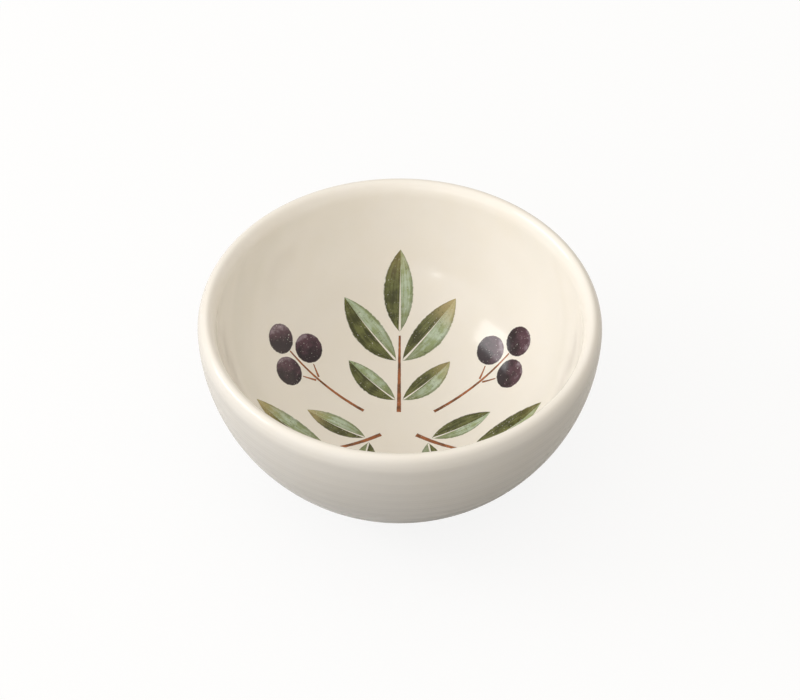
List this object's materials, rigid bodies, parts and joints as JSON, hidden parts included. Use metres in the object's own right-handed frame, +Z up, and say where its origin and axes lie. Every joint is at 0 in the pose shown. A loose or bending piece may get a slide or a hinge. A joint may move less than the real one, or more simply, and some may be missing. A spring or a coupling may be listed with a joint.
{
  "type": "dip bowl",
  "caption": "Small round glazed bowl with a rounded lip, a hemispherical wall on a bare foot ring and a printed rosette of leaves and berries in its well, for dips and sauces.",
  "frame": {"origin": "centre of the foot ring, on the table surface", "axes": "+Z up along the bowl's axis of revolution, +Y along one leaf sprig of the print, away from the pictured side, +X to the right in the picture"},
  "size_m": [0.11, 0.11, 0.055],
  "materials": {
    "clay": "bare fired earthenware, matte",
    "glaze": "ivory gloss glaze",
    "leaf_colour": "olive and sage green ceramic colour under gloss",
    "stem_colour": "brown ceramic colour under gloss",
    "berry_colour": "plum ceramic colour under gloss"
  },
  "bodies": {
    "root": {"clay_body": "clay", "glaze_coat": "glaze", "underside_glaze": "glaze", "leaf_print": "leaf_colour", "stem_print": "stem_colour", "berry_print": "berry_colour"}
  },
  "joints": []
}
